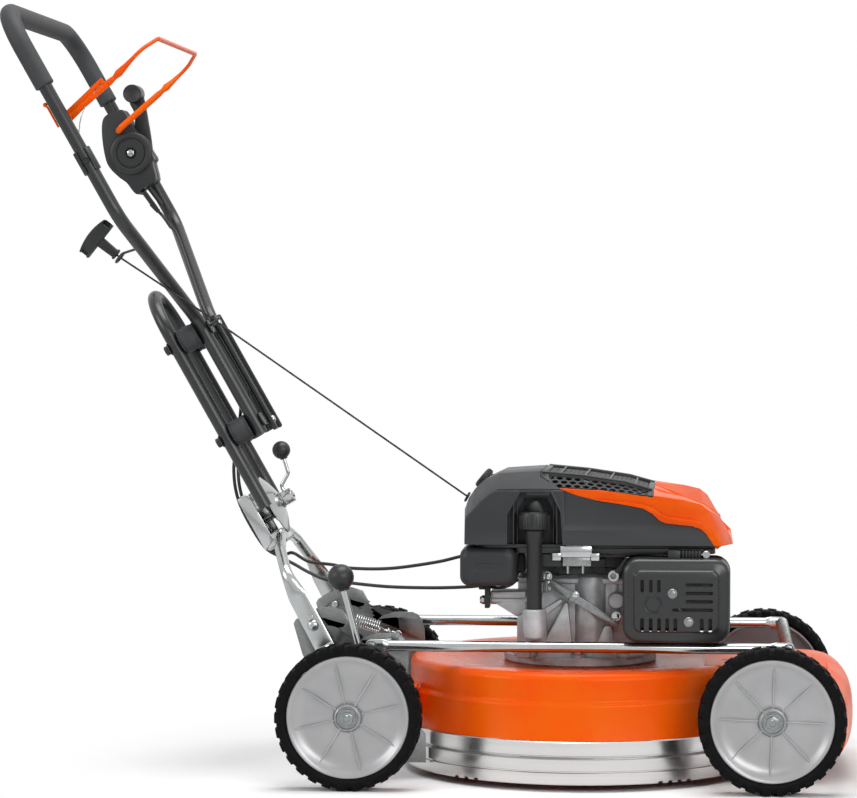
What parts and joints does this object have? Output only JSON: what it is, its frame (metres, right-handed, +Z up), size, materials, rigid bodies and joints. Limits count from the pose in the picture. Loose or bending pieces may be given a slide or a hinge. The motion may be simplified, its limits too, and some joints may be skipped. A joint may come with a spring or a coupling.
{
  "type": "petrol lawn mower",
  "caption": "Walk-behind petrol lawn mower with a round steel deck, a vertical-shaft engine, a wheel at each corner and a folding rubber-sprung handle with a stop bail.",
  "frame": {"origin": "on the ground, under the middle of the whole machine's outline", "axes": "+X towards the front of the mower, away from the handle; +Y to the mower's left side; +Z up"},
  "size_m": [1.2291, 0.5696, 1.1206],
  "materials": {
    "orange_enamel": "glossy enamel",
    "orange_plastic": "moulded, slight gloss",
    "polished_aluminium": "polished",
    "cast_aluminium": "as cast",
    "zinc_plated_steel": "zinc plated, dull",
    "bright_steel": "bright",
    "black_powder_coat": "satin powder coat",
    "black_plastic": "satin",
    "dark_grey_plastic": "fine grain",
    "grip_rubber": "soft, matt",
    "tyre_rubber": "matt",
    "silver_plastic": "silver, satin"
  },
  "bodies": {
    "chassis": {"deck_shell": "orange_enamel", "deck_skirt": "polished_aluminium", "front_hood": "orange_plastic", "rear_bracket_right": "zinc_plated_steel", "rear_bracket_left": "zinc_plated_steel", "crankcase": "cast_aluminium", "blower_base": "black_plastic", "air_filter_box": "dark_grey_plastic", "engine_cover": "dark_grey_plastic", "engine_hood": "orange_plastic", "cooling_grille": "black_plastic", "oil_filler_tube": "black_plastic", "muffler": "bright_steel", "muffler_guard": "black_plastic"},
    "rotor": {"crankshaft": "bright_steel", "flywheel": "cast_aluminium", "blade_holder": "cast_aluminium", "blade": "bright_steel", "blade_bolt": "zinc_plated_steel"},
    "rope_pulley": {"starter_pulley": "black_plastic"},
    "rear_carrier": {"rear_axle_carrier": "zinc_plated_steel", "height_lever": "bright_steel", "height_lever_knob": "black_plastic", "height_spring": "bright_steel", "wheel_nut_rear_right": "zinc_plated_steel", "wheel_nut_rear_left": "zinc_plated_steel"},
    "front_carrier": {"front_axle_carrier": "zinc_plated_steel", "wheel_nut_front_right": "zinc_plated_steel", "wheel_nut_front_left": "zinc_plated_steel"},
    "link_right": {"link_tube_right": "bright_steel"},
    "link_left": {"link_tube_left": "bright_steel"},
    "fork_body": {"fork": "zinc_plated_steel", "clamp_disc": "bright_steel"},
    "clamp": {"clamp_lever": "bright_steel", "clamp_knob": "black_plastic"},
    "handle": {"lower_hoop": "black_powder_coat", "buffer_lower_right": "tyre_rubber", "buffer_lower_left": "tyre_rubber", "buffer_upper_right": "tyre_rubber", "buffer_upper_left": "tyre_rubber", "neck_channel": "black_powder_coat", "upper_handle": "black_powder_coat", "handle_grip": "grip_rubber", "control_housing": "black_plastic", "starter_rope": "black_plastic", "stop_cable": "black_plastic", "throttle_cable": "black_plastic"},
    "bail": {"stop_bail": "orange_enamel"},
    "speed": {"speed_lever": "black_plastic"},
    "pull_grip": {"starter_grip": "black_plastic"},
    "oil_cap_body": {"oil_cap": "black_plastic"},
    "fuel_cap_body": {"fuel_cap": "black_plastic"},
    "wheel_rear_right": {"tyre_rear_right": "tyre_rubber", "wheel_disc_rear_right": "silver_plastic"},
    "wheel_rear_left": {"tyre_rear_left": "tyre_rubber", "wheel_disc_rear_left": "silver_plastic"},
    "wheel_front_right": {"tyre_front_right": "tyre_rubber", "wheel_disc_front_right": "silver_plastic"},
    "wheel_front_left": {"tyre_front_left": "tyre_rubber", "wheel_disc_front_left": "silver_plastic"}
  },
  "joints": [
    {"name": "blade_spin", "type": "hinge", "parent": "chassis", "child": "rotor", "pos_m": [0.211, 0, 0.0348], "axis": [0, 0, 1], "continuous": true},
    {"name": "starter_pulley_spin", "type": "hinge", "parent": "chassis", "child": "rope_pulley", "pos_m": [0.211, 0, 0.38], "axis": [0, 0, 1], "range_deg": [-521, 0]},
    {"name": "rear_height", "type": "hinge", "parent": "chassis", "child": "rear_carrier", "pos_m": [-0.065, 0, 0.095], "axis": [0, -1, 0], "range_deg": [0, 24], "deforming": ["height_spring"]},
    {"name": "front_height", "type": "hinge", "parent": "chassis", "child": "front_carrier", "pos_m": [0.535, 0, 0.095], "axis": [0, -1, 0], "range_deg": [0, 24]},
    {"name": "link_right_turn", "type": "hinge", "parent": "rear_carrier", "child": "link_right", "pos_m": [-0.0854, -0.1753, 0.197], "axis": [0, -1, 0], "range_deg": [-24, 0]},
    {"name": "link_left_turn", "type": "hinge", "parent": "rear_carrier", "child": "link_left", "pos_m": [-0.0854, 0.1753, 0.197], "axis": [0, -1, 0], "range_deg": [-24, 0]},
    {"name": "fork_fold", "type": "hinge", "parent": "chassis", "child": "fork_body", "pos_m": [-0.1516, 0, 0.186], "axis": [0, 1, 0], "range_deg": [-8, 50], "deforming": ["starter_rope", "stop_cable", "throttle_cable"]},
    {"name": "handle_swing", "type": "hinge", "parent": "fork_body", "child": "handle", "pos_m": [-0.20868, 0, 0.4097], "axis": [0.8712, 0, 0.4909], "range_deg": [-20, 20], "deforming": ["starter_rope", "stop_cable", "throttle_cable"]},
    {"name": "clamp_turn", "type": "hinge", "parent": "fork_body", "child": "clamp", "pos_m": [-0.20868, 0, 0.4097], "axis": [0.8712, 0, 0.4909], "range_deg": [0, 150]},
    {"name": "bail_squeeze", "type": "hinge", "parent": "handle", "child": "bail", "pos_m": [-0.51525, 0, 0.95377], "axis": [0, -1, 0], "range_deg": [0, 66], "stiffness_Nm_per_rad": 0.4, "springref_deg": -68.75, "deforming": ["stop_cable"]},
    {"name": "speed_lever_turn", "type": "hinge", "parent": "handle", "child": "speed", "pos_m": [-0.4954, 0.222, 0.9195], "axis": [0, 1, 0], "range_deg": [-20, 25]},
    {"name": "starter_pull", "type": "slide", "parent": "handle", "child": "pull_grip", "axis": [-0.7839, 0, 0.6209], "range_m": [0, 0.5], "stiffness_N_per_m": 8, "springref_m": -0.3, "deforming": ["starter_rope"]},
    {"name": "oil_cap_turn", "type": "hinge", "parent": "chassis", "child": "oil_cap_body", "pos_m": [0.15, -0.165, 0.366], "axis": [0, 0, 1], "range_deg": [0, 90]},
    {"name": "fuel_cap_turn", "type": "hinge", "parent": "chassis", "child": "fuel_cap_body", "pos_m": [0.0635, 0.1, 0.4205], "axis": [-0.7659, 0, 0.6429], "range_deg": [0, 120]},
    {"name": "wheel_rear_right_spin", "type": "hinge", "parent": "rear_carrier", "child": "wheel_rear_right", "pos_m": [-0.11, -0.257, 0.105], "axis": [0, 1, 0], "continuous": true},
    {"name": "wheel_rear_left_spin", "type": "hinge", "parent": "rear_carrier", "child": "wheel_rear_left", "pos_m": [-0.11, 0.257, 0.105], "axis": [0, 1, 0], "continuous": true},
    {"name": "wheel_front_right_spin", "type": "hinge", "parent": "front_carrier", "child": "wheel_front_right", "pos_m": [0.49, -0.257, 0.105], "axis": [0, 1, 0], "continuous": true},
    {"name": "wheel_front_left_spin", "type": "hinge", "parent": "front_carrier", "child": "wheel_front_left", "pos_m": [0.49, 0.257, 0.105], "axis": [0, 1, 0], "continuous": true}
  ],
  "couplings": [
    {"joint": "front_height", "follows": "rear_height", "ratio": 1},
    {"joint": "link_right_turn", "follows": "rear_height", "ratio": -1},
    {"joint": "link_left_turn", "follows": "rear_height", "ratio": -1},
    {"joint": "starter_pulley_spin", "follows": "starter_pull", "rad_per_m": -18.182}
  ]
}
